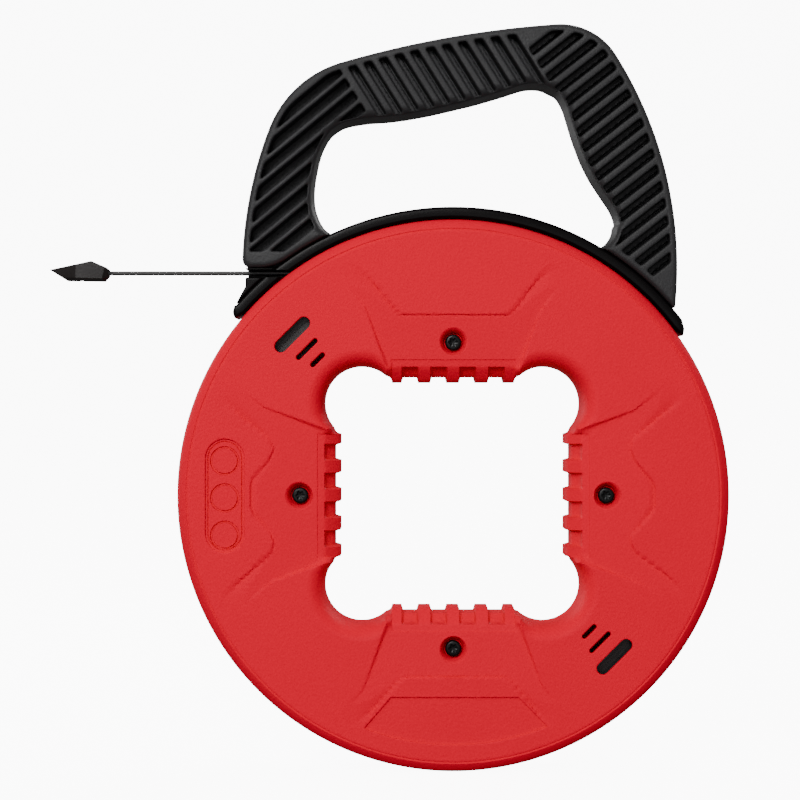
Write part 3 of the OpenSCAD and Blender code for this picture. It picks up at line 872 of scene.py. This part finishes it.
def handle_shell(front):
    hs = np.arange(-1.5 * VOX, 15 + 2.5 * VOX, VOX)


    def rounded(q1, rho):
        q1 = q1 + rho
        q2 = hs[None, None, :] - (15 - rho)
        return np.minimum(np.maximum(q1, q2), 0) + np.hypot(np.maximum(q1, 0), np.maximum(q2, 0)) - rho

    f = rounded(BODY[:, :, None] + 0 * hs[None, None, :], 2.0)
    closing = 0.085 * np.maximum(hs, 0)[None, None, :]
    f = np.maximum(f, rounded(closing - GAP_MIDDLE[:, :, None], 3.2))
    if front:
        pk = POCK
        dp = DEEP
    else:
        pk, dp = POCK.copy(), DEEP.copy()
        for sx, sz in SPOTS:
            keep = 4.8 - np.hypot(PX - sx, PZ - sz)
            pk = np.maximum(pk, keep)
            dp = np.maximum(dp, keep)
    shallow = np.maximum(pk[:, :, None], (15 - 5.6) - hs[None, None, :])
    lower = np.maximum(dp[:, :, None], (15 - 9.0) - hs[None, None, :])
    carve = np.minimum(shallow, lower)
    f = smax(f, -carve, 0.6)
    if not front:
        for sx, sz in SPOTS:
            r = np.hypot(PX - sx, PZ - sz)[:, :, None]
            bore = np.maximum(r - 3.4, 11.0 - hs[None, None, :])
            f = smax(f, -bore, 0.6)
    # fine parting line where the two halves meet
    f = np.maximum(f, 0.02 - hs[None, None, :] + 0 * f)
    edge = np.maximum(BODY, -GAP_MIDDLE)
    line = np.maximum(-(edge[:, :, None] + 0.45), hs[None, None, :] - 0.35)
    f = np.maximum(f, -line)
    # axes to x, y, z order: h is -y for the front shell
    g = np.transpose(f, (0, 2, 1))
    v, quads = grid_contour(g, (gx[0] , hs[0], gz[0]), VOX)
    v[:, 1] = v[:, 1] * (-1 if front else 1)
    return v, quads


def thin_out(ob, limit):
    tris = sum(len(p.vertices) - 2 for p in ob.data.polygons)
    if tris > limit:
        m = ob.modifiers.new("thin", "DECIMATE")
        m.ratio = limit / tris
        bake_modifiers(ob)


hf = to_object("handle_front_half", *handle_shell(True), HANDLE, "handle", "handle_black", smooth=False)
hr = to_object("handle_rear_half", *handle_shell(False), HANDLE, "handle", "handle_black", smooth=False)
for o in (hf, hr):
    thin_out(o, 190000)
    shade(o, 55)
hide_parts("handle_front_shell")
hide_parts("handle_rear_shell")

hs_heads = to_object("handle_screw_heads", *join_parts([torx_head(x, z, 2.95, 11.1, 13.65, 1.5, 1.2, sign=1) for x, z in SPOTS]),
                     SCREW, "handle", "black_steel", angle=35)
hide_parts("handle_screws")

# ---------------------------------------------------------------- rim guide and mouth


def band_section(inner, outer, half, r):
    """A rounded rectangle between an inner and an outer point of the plane, half wide both ways along y."""
    inner, outer = np.asarray(inner, float), np.asarray(outer, float)
    t = np.linalg.norm(outer - inner)
    u = (outer - inner) / t
    sec = rounded_rect(2 * half, t, min(r, t * 0.45), 6)
    mid = (inner + outer) / 2
    return np.column_stack([mid[0] + u[0] * sec[:, 1], sec[:, 0], mid[1] + u[1] * sec[:, 1]])


rings = []
# right fin, the band, then the left fin
rings.append(band_section((96.05, 66.8), (96.5, 68.6), 12.0, 0.8))
rings.append(band_section((95.9, 66.6), (96.55, 69.6), 12.6, 1.0))
rings.append(band_section((94.6, 67.6), (96.0, 71.6), 12.9, 1.1))
rings.append(band_section((93.5, 68.6), (95.6, 73.2), 12.95, 1.2))
for a in np.linspace(37.4, 138.8, 180):
    t = math.radians(a)
    c, s = math.cos(t), math.sin(t)
    rings.append(band_section((115.6 * c, 115.6 * s), (120.45 * c, 120.45 * s), 12.95, 1.25))
rings.append(band_section((-88.6, 75.2), (-91.4, 79.0), 12.95, 1.2))
rings.append(band_section((-89.8, 74.5), (-91.6, 78.0), 12.9, 1.1))
rings.append(band_section((-91.0, 73.9), (-91.95, 76.9), 12.6, 1.0))
rings.append(band_section((-91.3, 74.2), (-91.95, 76.0), 12.0, 0.8))
band = to_object("rim_guide_band", *rings_mesh(rings), GUIDE, "handle", "guide_black", angle=40)
cut(band, plain_object("slot", *prism([(-95, 90.9), (-55, 90.9), (-55, 94.1), (-95, 94.1)], -4.5, 20)))
shade(band, 40)
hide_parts("rim_guide")


def mouth_block():
    v = 0.35
    ax = np.arange(-93, -66, v)
    az = np.arange(77, 98, v)
    ay = np.arange(-14, 14 + v, v)
    X, Y, Z = np.meshgrid(ax, ay, az, indexing="ij")
    poly = [(-86.6, 94.85), (-86.7, 87.2), (-90.6, 80.0), (-88.6, 79.8), (-84.2, 85.4), (-70, 94.85)]
    d2 = polygon_distance(X[:, 0, :].ravel(), Z[:, 0, :].ravel(), poly).reshape(X[:, 0, :].shape)
    d2 = smax(d2, 120.6 - np.hypot(X[:, 0, :], Z[:, 0, :]), 0.4)
    r = 0.5
    q1 = d2[:, None, :] + r
    q2 = np.abs(Y) - (12.95 - r)
    f = np.minimum(np.maximum(q1, q2), 0) + np.hypot(np.maximum(q1, 0), np.maximum(q2, 0)) - r
    slot = np.maximum(np.abs(Z - 92.5) - 1.65, Y - 4.0)
    return grid_contour(smax(f, -slot, 0.4), (ax[0], ay[0], az[0]), v)


mouth = to_object("mouth_guide_block", *mouth_block(), GUIDE, "handle", "guide_black", angle=50)
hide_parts("mouth_guide")

# shoe screws with six-lobed heads, axes along the radius
parts = []
for ang in (137.4, 90.0, 42.0):
    v, f = torx_head(0, 0, 2.65, 117.9, 120.05, 1.3, 1.0, sign=1, n=48)
    t = math.radians(ang)
    # head frame: y is the axis; turn it on to the radius
    rad = np.array([math.cos(t), 0, math.sin(t)])
    tan = np.array([-math.sin(t), 0, math.cos(t)])
    v = v[:, 1:2] * rad + v[:, 0:1] * tan + v[:, 2:3] * np.array([0, 1.0, 0])
    parts.append((v, f))
ss = to_object("shoe_screw_heads", *join_parts(parts), PLAIN, "handle", "plain_steel", angle=35)
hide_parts("shoe_screws")

# ---------------------------------------------------------------- CAD nodes carried over

# the coil pieces take the darker coil material, whose colour is painted shade
CARRY = {
    "tape_coil_front": COIL_PAINTED_SHADE, "tape_coil_rear": COIL_PAINTED_SHADE, "tape_coil_inner": COIL_PAINTED_SHADE, "tape_anchor": PLAIN, "anchor_screw": SCREW,
    "guide_shoe_left": SHOE, "guide_shoe_top": SHOE, "guide_shoe_right": SHOE,
}
SLOTS = {"tape_coil_front": "tape_steel", "tape_coil_rear": "tape_steel", "tape_coil_inner": "tape_steel", "tape_anchor": "plain_steel",
         "anchor_screw": "black_steel", "guide_shoe_left": "guide_black", "guide_shoe_top": "guide_black", "guide_shoe_right": "guide_black"}
for n, m in CARRY.items():
    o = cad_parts[n]
    o.data.materials.clear()
    o.data.materials.append(m)
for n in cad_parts:
    if n not in CARRY:
        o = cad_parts[n]
        o.data.materials.clear()
        o.data.materials.append({"front_cover": RED, "rear_cover": RED_REAR}.get(n, HANDLE if n.startswith("handle") else SCREW))

# ---------------------------------------------------------------- floor, light and camera


def emitter(name, colour, strength, base):
    m = bpy.data.materials.new(name)
    m.use_nodes = True
    b = m.node_tree.nodes["Principled BSDF"]
    b.inputs["Base Color"].default_value = (*base, 1)
    b.inputs["Roughness"].default_value = 0.9
    b.inputs["Specular IOR Level"].default_value = 0.1
    b.inputs["Emission Color"].default_value = (*colour, 1)
    b.inputs["Emission Strength"].default_value = strength
    return m


FLOOR_Z = -0.1152
prof = [(-2.2, FLOOR_Z), (0.9, FLOOR_Z)]
for q in np.linspace(0, 90, 24):
    t = math.radians(q)
    prof.append((0.9 + 0.7 * math.sin(t), FLOOR_Z + 0.7 - 0.7 * math.cos(t)))
prof.append((1.6, 2.6))
verts, faces = [], []
for y, z in prof:
    verts += [(-2.4, y, z), (2.4, y, z)]
for i in range(len(prof) - 1):
    faces.append((2 * i, 2 * i + 1, 2 * i + 3, 2 * i + 2))
me = bpy.data.meshes.new("studio_floor")
me.from_pydata(verts, [], faces)
me.update()
floor = bpy.data.objects.new("studio_floor", me)
bpy.context.scene.collection.objects.link(floor)
me.polygons.foreach_set("use_smooth", [True] * len(me.polygons))
me.materials.append(emitter("studio_white", (1, 1, 1), 9.5, (0.9, 0.9, 0.9)))
floor.visible_diffuse = False
floor.visible_glossy = False
floor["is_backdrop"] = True


def area(name, loc, target, size, power, size_y=None, colour=(1, 1, 1)):
    l = bpy.data.lights.new(name, "AREA")
    l.energy = power
    l.color = colour
    l.shape = "RECTANGLE"
    l.size = size
    l.size_y = size_y or size
    o = bpy.data.objects.new(name, l)
    bpy.context.scene.collection.objects.link(o)
    o.location = loc
    o.rotation_euler = (Vector(target) - Vector(loc)).to_track_quat("-Z", "Y").to_euler()
    return o


area("front_main", (-0.45, -1.7, 0.7), (0, 0, 0.03), 0.6, 31.0)
area("key_top_left", (-0.9, -0.9, 1.3), (0, 0, 0.03), 0.8, 7.0)
area("fill_right", (1.1, -1.2, 0.4), (0, 0, 0.03), 0.9, 2.2)
area("front_low", (-0.1, -1.6, -0.02), (0, 0, 0.03), 1.0, 2.4, 0.4)
area("top_strip", (0.0, 0.15, 1.1), (0, 0, 0.1), 0.8, 3.0, 0.5)
area("rear_right", (0.75, 0.8, 0.7), (0, 0, 0.03), 0.7, 9.0)
area("rear_left", (-0.8, 0.75, 0.3), (0, 0, 0.03), 0.7, 7.0)

world = bpy.data.worlds.new("studio")
bpy.context.scene.world = world
world.use_nodes = True
bg = world.node_tree.nodes["Background"]
bg.inputs["Color"].default_value = (1, 1, 1, 1)
bg.inputs["Strength"].default_value = 0.22

cam = bpy.data.cameras.new("camera")
cam.lens = 106.51
cam.sensor_width = 36.0
cam.clip_start = 0.05
cam.clip_end = 20
cam_ob = bpy.data.objects.new("camera", cam)
bpy.context.scene.collection.objects.link(cam_ob)
cam_ob.location = (-0.02216, -1.0, 0.03974)
cam_ob.rotation_euler = (math.pi / 2, 0, 0)
bpy.context.scene.camera = cam_ob

made_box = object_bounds()


def plain_list(b):
    try:
        return [[float(c) for c in p] for p in b]
    except TypeError:
        return b


{"cad": plain_list(cad_box), "visual": plain_list(made_box)}
